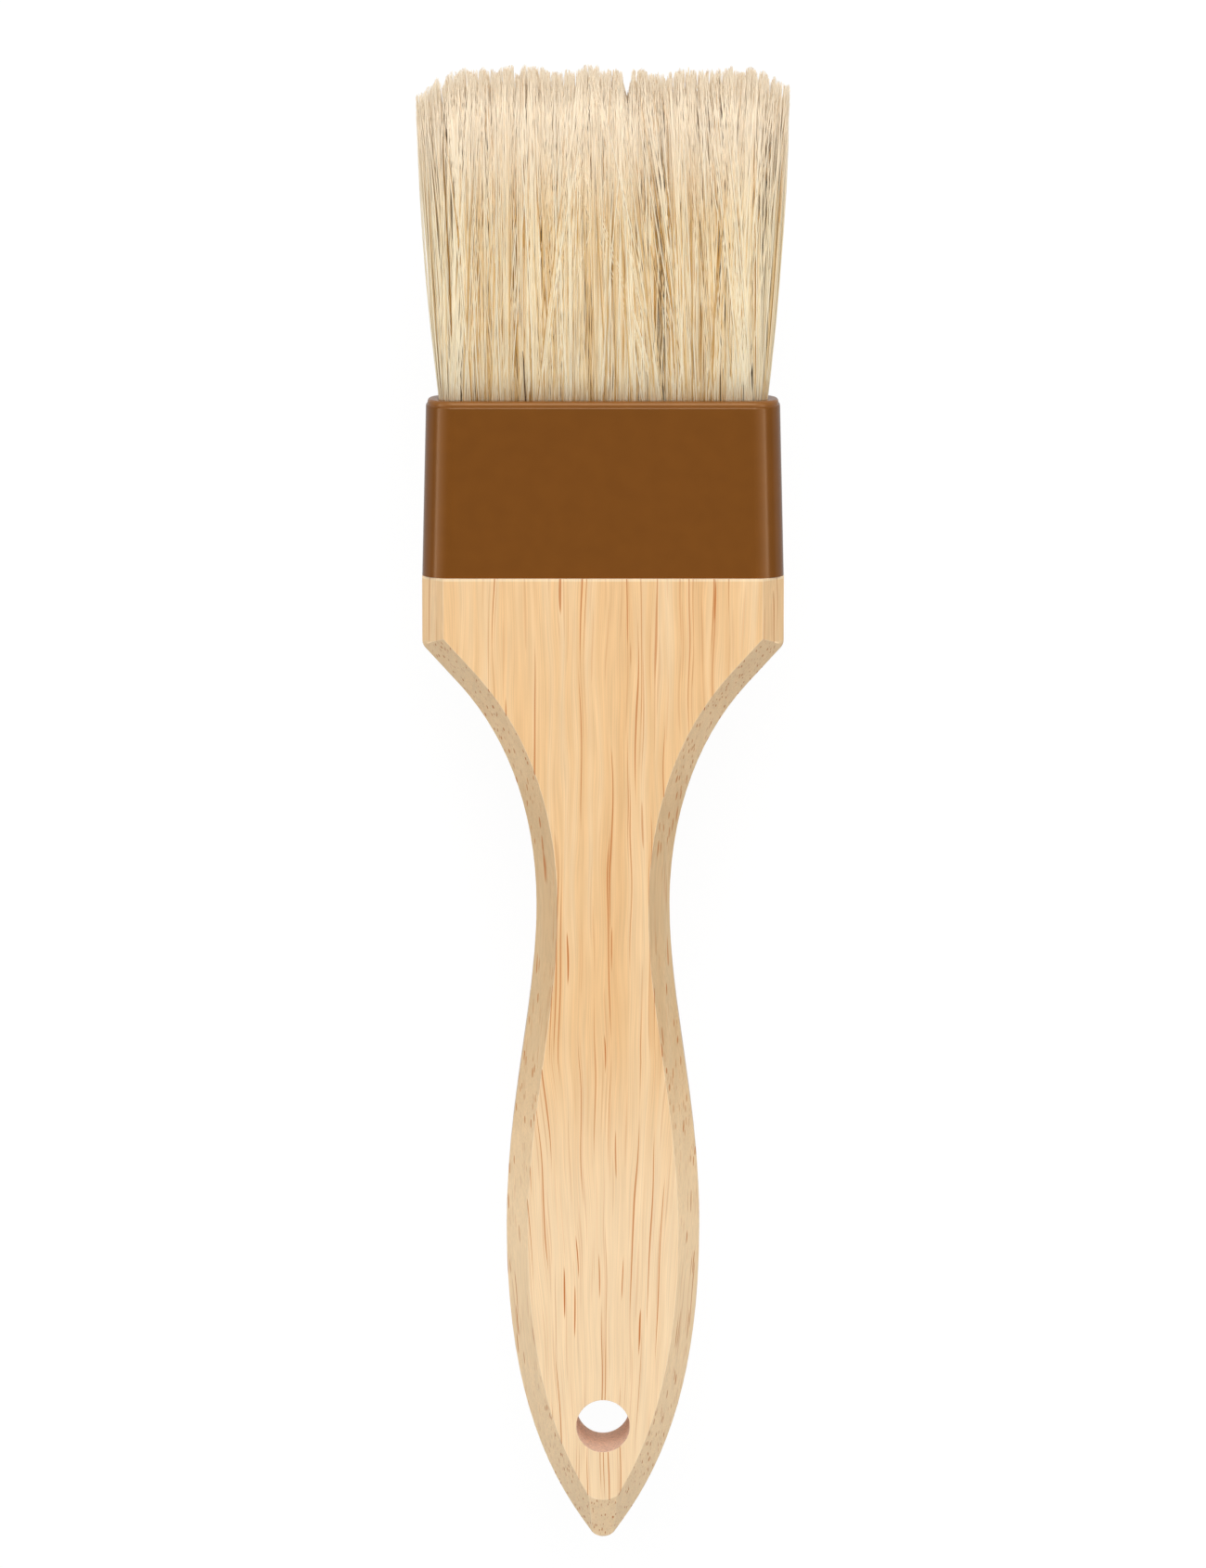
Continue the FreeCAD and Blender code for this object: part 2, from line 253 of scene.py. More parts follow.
def lacquered_rubberwood(settings):
    """Rubberwood, planed and sanded, under satin lacquer: pale straw wood with faint straight bands, and open
    pores that show as long thin brown lines along the grain. The face attribute chamfer_shade is the share of
    painted shade and greyish sheen that a face on the chamfers takes, and rounded is 1 on the sanded edges, which
    take a painted highlight."""
    material, tree = new_material("lacquered_rubberwood")
    place = add(tree, "ShaderNodeTexCoord").outputs["Object"]
    # The grain wanders sideways by a few tenths of a millimetre, and draws together towards the nose.
    wander = add(
        tree, "ShaderNodeTexNoise", {"Vector": stretched(tree, place, 11 * MM, 70 * MM), "Detail": 0.0}
    )
    shift = add(
        tree, "ShaderNodeVectorMath", {0: wander.outputs["Color"], 1: (0.5, 0.5, 0.5)}, operation="SUBTRACT"
    )
    drift = add(
        tree, "ShaderNodeVectorMath", {0: shift.outputs[0], 1: (1.2 * MM, 0.0, 0.0)}, operation="MULTIPLY"
    )
    along = add(tree, "ShaderNodeSeparateXYZ", {"Vector": place}).outputs["Y"]
    closing = add(
        tree, "ShaderNodeMapRange",
        {"Value": along, "From Min": -35 * MM, "From Max": -90 * MM, "To Max": 0.5},
    )
    sideways = add(tree, "ShaderNodeVectorMath", {0: place, 1: (1.0, 0.0, 0.0)}, operation="MULTIPLY")
    inward = add(
        tree, "ShaderNodeVectorMath", {0: sideways.outputs[0], "Scale": closing.outputs["Result"]},
        operation="SCALE",
    )
    straight = add(tree, "ShaderNodeVectorMath", {0: place, 1: drift.outputs[0]}, operation="ADD")
    grain = add(
        tree, "ShaderNodeVectorMath", {0: straight.outputs[0], 1: inward.outputs[0]}, operation="ADD"
    ).outputs[0]

    # Broad bands, which grow paler towards the nose.
    bands = add(
        tree, "ShaderNodeTexNoise", {"Vector": stretched(tree, grain, 8 * MM, 300 * MM), "Detail": 1.0}
    )
    body = add(
        tree, "ShaderNodeValToRGB", {"Fac": bands.outputs["Fac"]},
        stops=[(0.15, settings.golden), (0.88, settings.pale), (0.5, settings.straw)],
    ).outputs["Color"]
    towards_nose = add(
        tree, "ShaderNodeMapRange",
        {"Value": along, "From Min": -25 * MM, "From Max": -62 * MM},
        interpolation_type="SMOOTHSTEP",
    ).outputs["Result"]
    paler = add(tree, "ShaderNodeMath", {0: towards_nose, 1: 0.75}, operation="MULTIPLY").outputs[0]
    body = add(
        tree, "ShaderNodeMix", {"Factor": paler, 6: body, 7: (*settings.nose, 1.0)}, data_type="RGBA"
    ).outputs[2]

    # Painted shade and greyish sheen on the chamfers, darkest and greyest along the waist.
    towards_shoulder = add(
        tree, "ShaderNodeMapRange",
        {
            "Value": along, "From Min": SHOULDER_CORNER - 28 * MM, "From Max": SHOULDER_CORNER - 11 * MM,
            "To Max": 0.8,
        },
        interpolation_type="SMOOTHSTEP",
    ).outputs["Result"]
    from_waist = add(
        tree, "ShaderNodeMath", {0: towards_nose, 1: towards_shoulder}, operation="MAXIMUM"
    ).outputs[0]
    chamfer = add(
        tree, "ShaderNodeMix",
        {"Factor": from_waist, 6: (*settings.chamfer, 1.0), 7: (*settings.end_chamfer, 1.0)},
        data_type="RGBA",
    ).outputs[2]
    chamfer_shade = add(tree, "ShaderNodeAttribute", attribute_name="chamfer_shade").outputs["Fac"]
    # cut is the share of the painted chamfer shade that a face takes.
    cut = add(tree, "ShaderNodeMath", {0: chamfer_shade, 1: 0.7}, operation="MULTIPLY").outputs[0]
    body = add(tree, "ShaderNodeMix", {"Factor": cut, 6: body, 7: chamfer}, data_type="RGBA").outputs[2]

    # Painted highlight: a pale line on the sanded edges and along the foot of the ferrule, where the edges catch
    # the light.
    rounded = add(tree, "ShaderNodeAttribute", attribute_name="rounded").outputs["Fac"]
    below = add(
        tree, "ShaderNodeMapRange",
        {"Value": along, "From Min": FERRULE_FOOT - 0.45 * MM, "From Max": FERRULE_FOOT - 0.3 * MM},
    ).outputs["Result"]
    highlight_mask = add(tree, "ShaderNodeMath", {0: rounded, 1: below}, operation="MAXIMUM").outputs[0]
    # thin is how much of the painted highlight colour these places take.
    thin = add(tree, "ShaderNodeMath", {0: highlight_mask, 1: 0.55}, operation="MULTIPLY").outputs[0]
    body = add(
        tree, "ShaderNodeMix", {"Factor": thin, 6: body, 7: (*settings.edge, 1.0)}, data_type="RGBA"
    ).outputs[2]

    # Fibres, fine and broad, and a faint mottle.
    for across, length, contrast in (
        (0.3 * MM, 60 * MM, 0.07),
        (0.9 * MM, 150 * MM, 0.03),
        (4 * MM, 30 * MM, 0.03),
    ):
        fibres = add(
            tree, "ShaderNodeTexNoise", {"Vector": stretched(tree, grain, across, length), "Detail": 0.0}
        )
        shade = add(
            tree, "ShaderNodeMapRange",
            {
                "Value": fibres.outputs["Fac"], "From Min": 0.25, "From Max": 0.75, "To Min": 1 - contrast,
                "To Max": 1 + contrast,
            },
        )
        body = add(
            tree, "ShaderNodeVectorMath", {0: body, "Scale": shade.outputs["Result"]}, operation="SCALE"
        ).outputs["Vector"]

    # Pore lines: long fine ones, a crowd of fainter shorter ones, and a few dark dashes. Each is a long thin
    # spot in its own cell of a pattern: reach is its size as a share of the cell, empty is the share of cells
    # without one, and depth is how much of the vessels' colour the darkest ones take on.
    for across, length, reach, empty, depth in (
        (0.3 * MM, 38 * MM, 0.42, 0.8, 0.85),
        (0.3 * MM, 18 * MM, 0.4, 0.6, 0.25),
        (0.36 * MM, 11 * MM, 0.38, 0.95, 1.0),
    ):
        cells = add(
            tree, "ShaderNodeTexVoronoi", {"Vector": stretched(tree, grain, across, length), "Scale": 1.0}
        )
        line = add(
            tree, "ShaderNodeMapRange",
            {"Value": cells.outputs["Distance"], "From Min": reach, "From Max": reach * 0.75},
            interpolation_type="SMOOTHSTEP",
        )
        pick = add(tree, "ShaderNodeSeparateColor", {"Color": cells.outputs["Color"]})
        present = add(
            tree, "ShaderNodeMapRange",
            {
                "Value": pick.outputs["Red"], "From Min": empty, "From Max": (1 + empty) / 2,
                "To Max": depth,
            },
        )
        mark = add(
            tree, "ShaderNodeMath", {0: line.outputs["Result"], 1: present.outputs["Result"]},
            operation="MULTIPLY",
        )
        body = add(
            tree, "ShaderNodeMix", {"Factor": mark.outputs[0], 6: body, 7: (*settings.vessel, 1.0)},
            data_type="RGBA",
        ).outputs[2]
    shader = add(
        tree, "ShaderNodeBsdfPrincipled",
        {
            "Base Color": body, "Roughness": settings.gloss, "IOR": 1.5, "Coat Weight": 0.7,
            "Coat Roughness": 0.3,
        },
    )
    add(tree, "ShaderNodeOutputMaterial", {"Surface": shader.outputs[0]})
    return material


def moulded_polypropylene(settings):
    """Polypropylene, injection moulded in a polished tool and coloured right through: an even brown with a soft
    gloss. The thin lip looks lighter by painted light, for the light that it catches."""
    material, tree = new_material("moulded_polypropylene")
    place = add(tree, "ShaderNodeTexCoord").outputs["Object"]
    flow = add(
        tree, "ShaderNodeTexNoise", {"Vector": stretched(tree, place, 14 * MM, 14 * MM), "Detail": 1.0}
    )
    tint = add(
        tree, "ShaderNodeMapRange",
        {"Value": flow.outputs["Fac"], "From Min": 0.3, "From Max": 0.7, "To Min": 0.97, "To Max": 1.03},
    )
    along = add(tree, "ShaderNodeSeparateXYZ", {"Vector": place}).outputs["Y"]
    # Painted light: the lip takes the lighter lip colour.
    at_lip = add(
        tree, "ShaderNodeMapRange",
        {"Value": along, "From Min": MOUTH - 0.8 * MM, "From Max": MOUTH - 0.6 * MM},
    )
    dye_and_lip_light = add(
        tree, "ShaderNodeMix",
        {"Factor": at_lip.outputs["Result"], 6: (*settings.colour, 1.0), 7: (*settings.lip, 1.0)},
        data_type="RGBA",
    ).outputs[2]
    colour = add(tree, "ShaderNodeVectorMath", {0: dye_and_lip_light, "Scale": tint.outputs["Result"]}, operation="SCALE")
    shader = add(
        tree, "ShaderNodeBsdfPrincipled",
        {
            "Base Color": colour.outputs["Vector"], "Roughness": settings.gloss, "IOR": 1.49,
            "Specular IOR Level": 0.4, "Specular Tint": (1.0, 0.74, 0.5, 1.0),
        },
    )
    add(tree, "ShaderNodeOutputMaterial", {"Surface": shader.outputs[0]})
    return material


def natural_bristle(settings):
    """Bleached hog bristle, washed and left natural: cream to golden fibres, each a little different, with paler
    split tips. Every bristle carries its own tone in the attribute bristle_tone_and_painted_light, from 0 for a
    dark hair to 1 for the palest; it also holds painted shade for the deeper bristles and painted light for those
    at the sides. The tip colour is partly painted light, and the roots take painted shade."""
    material, tree = new_material("natural_hog_bristle")
    tone = add(tree, "ShaderNodeAttribute", attribute_name="bristle_tone_and_painted_light").outputs["Fac"]
    own = add(
        tree, "ShaderNodeValToRGB", {"Fac": tone},
        stops=[
            (0.0, settings.dark), (0.12, settings.golden), (0.05, settings.dark), (0.55, settings.cream),
            (1.0, settings.pale),
        ],
    ).outputs["Color"]
    place = add(tree, "ShaderNodeTexCoord").outputs["Object"]
    along = add(tree, "ShaderNodeSeparateXYZ", {"Vector": place}).outputs["Y"]
    # Towards the tips the bristles go over to the tip colour: partly their paler split tips, partly painted light
    # over the shade among them.
    to_tip = add(
        tree, "ShaderNodeMapRange",
        {"Value": along, "From Min": TIPS - 24 * MM, "From Max": TIPS - 6 * MM, "To Max": 0.95},
        interpolation_type="SMOOTHSTEP",
    ).outputs["Result"]
    soft = add(
        tree, "ShaderNodeMapRange", {"Value": tone, "From Min": 0.08, "From Max": 0.22}
    ).outputs["Result"]  # dark hairs keep their colour
    softened = add(tree, "ShaderNodeMath", {0: to_tip, 1: soft}, operation="MULTIPLY").outputs[0]
    tipped = add(
        tree, "ShaderNodeMix", {"Factor": softened, 6: own, 7: (*settings.tip, 1.0)}, data_type="RGBA"
    ).outputs[2]
    # Painted shade: the bristles darken towards the roots.
    shade = add(
        tree, "ShaderNodeMapRange",
        {"Value": along, "From Min": MOUTH, "From Max": MOUTH + 14 * MM, "To Min": 0.85},
    ).outputs["Result"]  # painted shade: the roots are a little darker near the mouth
    colour = add(
        tree, "ShaderNodeVectorMath", {0: tipped, "Scale": shade}, operation="SCALE"
    ).outputs["Vector"]
    shader = add(
        tree, "ShaderNodeBsdfPrincipled",
        {
            "Base Color": colour, "Roughness": 0.45, "IOR": 1.55, "Specular IOR Level": 0.25,
            "Specular Tint": (1.0, 0.88, 0.66, 1.0),
        },
    )
    add(tree, "ShaderNodeOutputMaterial", {"Surface": shader.outputs[0]})
    return material


def speckled(name, colour, grain, contrast, roughness):
    """A plain finish with a fine mottle. grain is the mottle's size across, along and up."""
    material, tree = new_material(name)
    place = add(tree, "ShaderNodeTexCoord").outputs["Object"]
    mottle = add(tree, "ShaderNodeTexNoise", {"Vector": stretched(tree, place, *grain), "Detail": 2.0})
    tint = add(
        tree, "ShaderNodeMapRange",
        {
            "Value": mottle.outputs["Fac"], "From Min": 0.3, "From Max": 0.7, "To Min": 1 - contrast,
            "To Max": 1 + contrast,
        },
    )
    tinted = add(
        tree, "ShaderNodeVectorMath", {0: colour, "Scale": tint.outputs["Result"]}, operation="SCALE"
    )
    shader = add(
        tree, "ShaderNodeBsdfPrincipled",
        {"Base Color": tinted.outputs["Vector"], "Roughness": roughness, "IOR": 1.5},
    )
    add(tree, "ShaderNodeOutputMaterial", {"Surface": shader.outputs[0]})
    return material


# ---- meshes ----


def new_piece(name, shape, material):
    """A smooth shaded piece from a bmesh, which is freed. Its object stays at the origin."""
    mesh = bpy.data.meshes.new(name)
    shape.to_mesh(mesh)
    shape.free()
    piece = bpy.data.objects.new(name, mesh)
    bpy.context.scene.collection.objects.link(piece)
    mesh.materials.append(material)
    mesh.shade_smooth()
    return piece


def joined_copy(node):
    """A bmesh of a CAD node with its loose triangles joined and its flat areas made single faces."""
    mesh = frame["nodes"][node].data.copy()
    if mesh.attributes.get("custom_normal"):
        mesh.attributes.remove(mesh.attributes["custom_normal"])
    shape = bmesh.new()
    shape.from_mesh(mesh)
    bpy.data.meshes.remove(mesh)
    bmesh.ops.remove_doubles(shape, verts=shape.verts, dist=0.002 * MM)
    bmesh.ops.dissolve_limit(
        shape, angle_limit=math.radians(0.4), verts=shape.verts, edges=shape.edges, delimit={"NORMAL"}
    )
    return shape


def soften_edges(shape, width, sharper_than):
    """Rounds the edges that are sharper than an angle, and marks the faces that this adds as rounded."""
    rounded = shape.faces.layers.float.new("rounded")
    edges = [e for e in shape.edges if e.is_manifold and e.calc_face_angle() > sharper_than]
    added = bmesh.ops.bevel(
        shape, geom=edges, offset=width, offset_type="OFFSET", affect="EDGES", segments=3, profile=0.5,
        material=-1, clamp_overlap=True,
    )["faces"]
    for face in added:
        face[rounded] = 1.0
    bmesh.ops.recalc_face_normals(shape, faces=shape.faces)


def even_shading(piece):
    """Lets the large faces set the shading, so that flats look flat up to their rounded edges."""
    modifier = piece.modifiers.new("Weighted Normal", "WEIGHTED_NORMAL")
    modifier.mode = "FACE_AREA"
    modifier.keep_sharp = True


class PASTRYBRUSH_OT_handle(bpy.types.Operator):
    """Makes the lacquered handle with softly sanded edges"""

    bl_idname = "pastry_brush.handle"
    bl_label = "Handle"

    def execute(self, context):
        settings = context.scene.pastry_brush.handle
        shape = joined_copy("handle")
        soften_edges(shape, settings.edge_round, sharper_than=math.radians(20))
        piece = new_piece("wooden_handle", shape, lacquered_rubberwood(settings))
        even_shading(piece)

        mesh = piece.data
        chamfer_shade = mesh.attributes.new("chamfer_shade", "FLOAT", "FACE")
        # A face takes the painted chamfer shade from a slope of 14 degrees, and fully from 37 degrees.
        upright = np.array([abs(face.normal.z) for face in mesh.polygons])
        share = np.clip((0.97 - upright) / 0.17, 0, 1)
        for i, face in enumerate(mesh.polygons):
            # The straight sides, which are cut along the grain, take less of the painted shade, and the end takes
            # none.
            if face.center.y > SHOULDER_CORNER:
                share[i] *= 0.35 if face.normal.y < 0.1 else 0.0
        chamfer_shade.data.foreach_set("value", share.astype(np.float32))

        # The hole is drilled after lacquering: bare wood, matt, with marks round its wall from the drill.
        drilled = speckled("drilled_rubberwood", settings.drilled, (2 * MM, 2 * MM, 0.5 * MM), 0.4, 0.85)
        mesh.materials.append(drilled)
        wall = HOLE["dims"]["r_mm"] * MM + 0.05 * MM  # a little more than the radius, to take in the facets
        for face in mesh.polygons:
            out = math.hypot(face.center.x - HOLE["pos_m"][0], face.center.y - HOLE["pos_m"][1])
            face.material_index = 1 if out < wall else 0

        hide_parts("handle")
        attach(piece, FIXED_BODY)
        return {"FINISHED"}


class PASTRYBRUSH_OT_ferrule(bpy.types.Operator):
    """Gives the moulded ferrule its plastic"""

    bl_idname = "pastry_brush.ferrule"
    bl_label = "Ferrule"

    def execute(self, context):
        settings = context.scene.pastry_brush.ferrule
        frame["nodes"]["ferrule"].material_slots[0].material = moulded_polypropylene(settings)
        return {"FINISHED"}


class PASTRYBRUSH_OT_setting(bpy.types.Operator):
    """Makes the pieces inside the ferrule: resin, strip and the set ends of the bristles"""

    bl_idname = "pastry_brush.setting"
    bl_label = "Resin, strip and set ends"

    def execute(self, context):
        settings = context.scene.pastry_brush.inside
        # Amber casting resin, poured and cured: glossy, with a faint cloudiness.
        resin = speckled("cast_epoxy", settings.resin, (2.5 * MM, 2.5 * MM), 0.06, 0.2)
        frame["nodes"]["epoxy_plug"].material_slots[0].material = resin
        # Plain sawn strip of the same pale wood: matt, with a fine straight grain.
        strip = speckled("sawn_strip_wood", settings.strip, (0.5 * MM, 18 * MM), 0.12, 0.7)
        frame["nodes"]["centre_spacer"].material_slots[0].material = strip
        # Bristle ends packed side by side: a fine stripe for each bristle.
        packed = speckled("packed_bristle_ends", settings.butts, (0.22 * MM, 12 * MM), 0.22, 0.6)
        for row in ROWS:
            shape = joined_copy(f"{row}_bristle_butts")
            geometry = shape.verts[:] + shape.edges[:] + shape.faces[:]
            cut = bmesh.ops.bisect_plane(
                shape, geom=geometry, plane_co=(0.0, MOUTH - SET_DEPTH, 0.0), plane_no=(0.0, 1.0, 0.0),
                clear_outer=True,
            )["geom_cut"]
            bmesh.ops.holes_fill(shape, edges=[e for e in cut if isinstance(e, bmesh.types.BMEdge)])
            bmesh.ops.recalc_face_normals(shape, faces=shape.faces)
            piece = new_piece(f"{row}_set_ends", shape, packed)
            piece.data.set_sharp_from_angle(angle=math.radians(30))
            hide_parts(f"{row}_bristle_butts")
            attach(piece, FIXED_BODY)
        return {"FINISHED"}


# ---- bristles ----

BRISTLE_SIDES = 4
BRISTLE_RINGS = 7
ROOT_DEPTH = 2.6 * MM  # how far inside the mouth the single bristles start
SPACING = 4.0  # between copies of the unit bristle while they are made
MOUTH_HALF = (BUTT_BOX[1][0], BUTT_BOX[1][2] - MIDDLE)
TIP_HALF = (-END_LOCK_BOX[0][0], LOCK_BOX[1][2] - MIDDLE)
CORNER = 2.0 * MM  # rounding of the bundle's corners
WISPS = 7  # wisps in a lock that cross over the rest
CROSSING = 0.32  # share of the single bristles that cross over their neighbours
PROUD = 0.07  # share of the bristles that stand a little proud of the bundle
TUFTING = 0.14  # how far the tips move towards the middles of their tufts
DROP_SPREAD = 0.65 * MM  # how far a tip usually ends below its neighbours
WAVE = 0.07 * MM  # how far a bristle usually waves sideways

# The gaps in the line of tips: place as a share of the half width, depth and half width in millimetres.
PARTINGS = ((-0.86, 0.9, 0.6), (-0.46, 1.2, 0.6), (0.13, 3.2, 0.75), (0.34, 0.9, 0.5), (0.9, 1.0, 0.6))

# The few dark hairs on the front: root as a share of the half width, how far the tip strays sideways and how
# far it ends below the tips in millimetres, tone, and how near to the front its root stands.
DARK_HAIRS = (
    (-0.91, 1.2, 9.0, 0.09, 0.8),
    (-0.47, 1.0, 39.0, 0.0, 1.0),
    (0.1, 0.8, 2.6, 0.05, 0.7),
    (0.36, -1.6, 10.0, 0.08, 0.84),
    (0.84, -5.6, 0.0, 0.02, 0.84),
)


def unit_bristles(doublings):
    """A bmesh of straight unit bristles that stand side by side along X, each one unit high."""
    shape = bmesh.new()
    bmesh.ops.create_cone(
        shape, cap_ends=True, segments=BRISTLE_SIDES, radius1=1.0, radius2=1.0, depth=1.0
    )
    bmesh.ops.translate(shape, vec=(0.0, 0.0, 0.5), verts=shape.verts)
    upright = [e for e in shape.edges if abs(e.verts[0].co.z - e.verts[1].co.z) > 0.5]
    bmesh.ops.subdivide_edges(shape, edges=upright, cuts=BRISTLE_RINGS - 1, use_grid_fill=True)
    for step in range(doublings):
        geometry = shape.verts[:] + shape.edges[:] + shape.faces[:]
        copy = bmesh.ops.duplicate(shape, geom=geometry)["geom"]
        moved = [v for v in copy if isinstance(v, bmesh.types.BMVert)]
        bmesh.ops.translate(shape, vec=(SPACING * 2**step, 0.0, 0.0), verts=moved)
    return shape


def corner_room(across, half_width, half_depth):
    """The share of the half depth that the bundle's rounded corners leave at a place across it."""
    into = np.clip(CORNER - (half_width - np.abs(across)), 0.0, CORNER)
    return 1 - (CORNER - np.sqrt(CORNER**2 - into**2)) / half_depth


def uneven(share, width, seed):
    """A random level from 0 to 1 that changes over about the given width across the tips."""
    knots = np.linspace(-1.0, 1.0, round(2 * TIP_HALF[0] / width) + 1)
    levels = np.random.default_rng(seed).uniform(0.0, 1.0, len(knots))
    return np.interp(share, knots, levels)


def tip_line(share, settings):
    """How far below the highest tip the bristles end, at places across the bundle from -1 to 1."""
    left_corner = 3.6 * MM * np.clip((-share - 0.72) / 0.28, 0, 1) ** 1.6
    right_corner = 2.4 * MM * np.clip((share - 0.86) / 0.14, 0, 1)
    low = left_corner + right_corner
    for place, depth, half_width in PARTINGS:
        reach = np.abs(share - place) * TIP_HALF[0] / (half_width * MM)
        low = low + depth * MM * np.clip(1.3 - 1.3 * reach, 0, 1)
    for width, part, seed in ((4.0 * MM, 0.7, 11), (1.3 * MM, 1.0, 12), (0.4 * MM, 0.8, 13)):
        low = low + settings.raggedness * part * uneven(share, width, seed)
    return low


def lay_lock(piece, row, column, settings):
    """Bends the unit bristles of a lock into place and gives each its tone."""
    side = ROWS[row]
    rng = np.random.default_rng(100 * column + (0 if row == "front" else 1))
    count = 2**settings.doublings
    mesh = piece.data
    co = np.empty(len(mesh.vertices) * 3, np.float32)
    mesh.vertices.foreach_get("co", co)
    co = co.reshape(-1, 3).astype(float)
    which = np.rint(co[:, 0] / SPACING).astype(int)
    ring = co[:, :2] - np.stack([which * SPACING, np.zeros(len(which))], 1)
    along = co[:, 2]

    share = -1 + 2 * (column - 1 + rng.uniform(-0.02, 1.02, count)) / LOCKS_PER_ROW
    share = np.clip(share, -0.995, 0.995)
    layer = np.sqrt(rng.uniform(0.0, 1.0, count))  # more bristles near the outside, where they show
    # Tips stray sideways one by one, and sway together in slow waves across the brush.
    lean = rng.normal(0, settings.lean, count) + 0.9 * MM * np.sin(share * 9 + 1.0) * (1 - share**2)
    proud = np.where(rng.uniform(0, 1, count) < PROUD, rng.uniform(0.1, 0.4, count) * MM, 0.0)

    # Some bristles cross over their neighbours, mostly inwards, alone or in wisps.
    inward = -np.sign(share) * np.clip(np.abs(share) * 2.5, 0.25, 1)
    inward = inward * np.clip(4.6 - 4 * np.abs(share), 0.6, 1)
    alone = rng.uniform(0, 1, count) < CROSSING
    lean = lean + np.where(alone | (proud > 0), inward * rng.normal(0.9 * MM, 2.6 * MM, count), 0.0)
    for centre in -1 + 2 * (column - 1 + rng.uniform(0, 1, WISPS)) / LOCKS_PER_ROW:
        wisp = (np.abs(share - centre) < rng.uniform(0.008, 0.022)) & (layer > 0.72)
        cross = inward * 9.0 * MM * rng.uniform(0, 1) ** 1.6 + rng.normal(0, 0.9 * MM)
        lean = lean + np.where(wisp, cross, 0.0)
        proud = np.where(wisp, rng.uniform(0.1, 0.35) * MM + rng.uniform(0, 0.15, count) * MM, proud)
    layer = np.where(proud > 0, np.maximum(layer, 0.93), layer)

    # The dark hairs of this lock take the places of its first bristles.
    left = 2 * (column - 1) / LOCKS_PER_ROW - 1
    dark = [hair for hair in DARK_HAIRS if row == "front" and left <= hair[0] < left + 2 / LOCKS_PER_ROW]
    for i, hair in enumerate(dark):
        share[i], lean[i], layer[i], proud[i] = hair[0], hair[1] * MM, 1.0, 0.4 * MM
    root_layer = layer.copy()
    root_layer[: len(dark)] = [hair[4] for hair in dark]

    # Roots in the mouth, and tips that gather a little in tufts.
    root_x = share * MOUTH_HALF[0]
    root_z = root_layer * MOUTH_HALF[1] * corner_room(root_x, *MOUTH_HALF)
    tip_x = share * TIP_HALF[0] + lean
    tuft = (np.floor((tip_x + TIP_HALF[0]) / settings.clump) + 0.5) * settings.clump - TIP_HALF[0]
    tip_x = np.clip(tip_x + (tuft - tip_x) * TUFTING, -TIP_HALF[0], TIP_HALF[0])
    tip_z = layer * TIP_HALF[1] * corner_room(tip_x, *TIP_HALF)
    tip_z = np.clip(tip_z + rng.normal(0, 0.25 * MM, count), -0.6 * MM, TIP_HALF[1])
    drop = tip_line(tip_x / TIP_HALF[0], settings) + rng.exponential(DROP_SPREAD, count) - 1.0 * MM
    drop = drop + 1.8 * MM * layer**4 * rng.uniform(0, 1, count)
    drop[: len(dark)] = [hair[2] * MM for hair in dark]

    # Each bristle's length, bow, wave, thickness and turn about its own line.
    start = MOUTH - ROOT_DEPTH
    length = TIPS - drop - start
    bow = rng.normal(0, 1, (count, 2)) * settings.bow
    wave = rng.normal(0, 1, count) * WAVE
    phase = rng.uniform(0, 2 * math.pi, count)
    turns = rng.uniform(1.0, 2.2, count)
    radius = settings.thickness / 2 * rng.uniform(0.7, 1.3, count)
    turn = rng.uniform(0, math.pi, count)

    # s runs from 0 at a root to 1 at a tip.
    s = along
    arch = 4 * s * (1 - s)
    fan = s * (0.75 + 0.25 * s)
    thick = radius[which] * np.where(s > 0.99, 0.3, 1 - 0.25 * s**2)
    c, d = np.cos(turn)[which], np.sin(turn)[which]
    x = root_x[which] + (tip_x - root_x)[which] * fan + bow[which, 0] * arch
    x = x + wave[which] * np.sin(phase[which] + 2 * math.pi * turns[which] * s) * s
    out = np.abs(bow[:, 1]) * 0.5 * layer + proud
    z = root_z[which] + (tip_z - root_z)[which] * fan + out[which] * arch
    x = x + thick * (ring[:, 0] * c - ring[:, 1] * d)
    z = MIDDLE + side * z + thick * (ring[:, 0] * d + ring[:, 1] * c)
    y = start + length[which] * s
    mesh.vertices.foreach_set("co", np.stack([x, y, z], 1).astype(np.float32).ravel())

    # Painted shade and light in the tone: the deeper bristles are darker, for the shade inside the bundle, and
    # those at the sides paler, as painted light. Proud ones are paler.
    tone = rng.normal(0.62, 0.32, count) - 0.3 * (1 - layer) + np.where(proud > 0, 0.18, 0.0)
    tone = np.clip(tone + 0.35 * np.clip(4 * np.abs(share) - 3, 0, 1), 0.14, 1.0)  # paler at the sides
    tone[: len(dark)] = [hair[3] for hair in dark]
    tones = mesh.attributes.new("bristle_tone_and_painted_light", "FLOAT", "POINT")
    tones.data.foreach_set("value", tone[which].astype(np.float32))
    mesh.update()


class PASTRYBRUSH_OT_bristles(bpy.types.Operator):
    """Makes the two rows of bristles, lock by lock"""

    bl_idname = "pastry_brush.bristles"
    bl_label = "Bristles"

    def execute(self, context):
        settings = context.scene.pastry_brush.bristles
        material = natural_bristle(settings)
        for row in ROWS:
            for column in range(1, LOCKS_PER_ROW + 1):
                shape = unit_bristles(settings.doublings)
                piece = new_piece(f"{row}_bristles_{column}", shape, material)
                lay_lock(piece, row, column, settings)
                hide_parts(f"{row}_lock_{column}")
                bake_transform(piece)
        return {"FINISHED"}


# ---- stage ----

